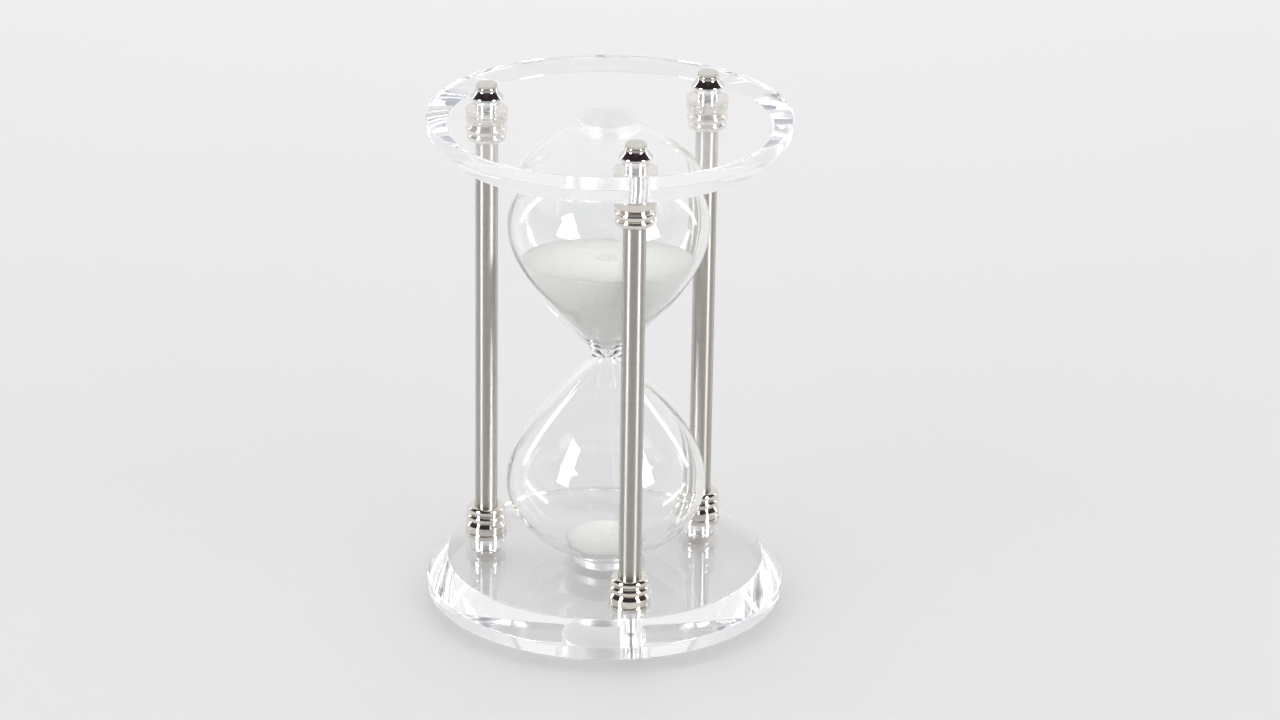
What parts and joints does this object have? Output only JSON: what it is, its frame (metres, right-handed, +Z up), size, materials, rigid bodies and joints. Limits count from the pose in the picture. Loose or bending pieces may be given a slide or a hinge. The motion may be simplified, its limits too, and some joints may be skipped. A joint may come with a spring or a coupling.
{
  "type": "hourglass",
  "caption": "Hourglass: a sealed two-bulb glass with white sand, held between two clear bevelled discs by metal posts with turned collars, cap nuts and round pads.",
  "frame": {"origin": "centre of the frame on the plane that the base pads stand on", "axes": "+Z up along the axis of the glass; -Y towards the front post"},
  "size_m": [0.15, 0.15, 0.2236],
  "materials": {
    "acrylic": "clear, polished all over",
    "clear_vinyl": "clear, soft",
    "blown_glass": "clear, fire polished",
    "sand": "fine white grain",
    "satin_nickel": "satin nickel, brushed along its length",
    "threaded_steel": "zinc plated",
    "polished_nickel": "polished nickel",
    "chrome_nut": "mirror polished",
    "bumper_pad": "matte cream"
  },
  "bodies": {
    "root": {"base_disc": "acrylic", "top_disc": "acrylic", "base_seat_ring": "clear_vinyl", "top_seat_ring": "clear_vinyl", "glass": "blown_glass", "upper_sand": "sand", "lower_sand": "sand", "post_tube_1": "satin_nickel", "tie_rod_1": "threaded_steel", "base_collar_1": "polished_nickel", "base_cap_nut_1": "chrome_nut", "base_pad_1": "bumper_pad", "top_collar_1": "polished_nickel", "top_cap_nut_1": "chrome_nut", "top_pad_1": "bumper_pad", "post_tube_2": "satin_nickel", "tie_rod_2": "threaded_steel", "base_collar_2": "polished_nickel", "base_cap_nut_2": "chrome_nut", "base_pad_2": "bumper_pad", "top_collar_2": "polished_nickel", "top_cap_nut_2": "chrome_nut", "top_pad_2": "bumper_pad", "post_tube_3": "satin_nickel", "tie_rod_3": "threaded_steel", "base_collar_3": "polished_nickel", "base_cap_nut_3": "chrome_nut", "base_pad_3": "bumper_pad", "top_collar_3": "polished_nickel", "top_cap_nut_3": "chrome_nut", "top_pad_3": "bumper_pad"}
  },
  "joints": []
}
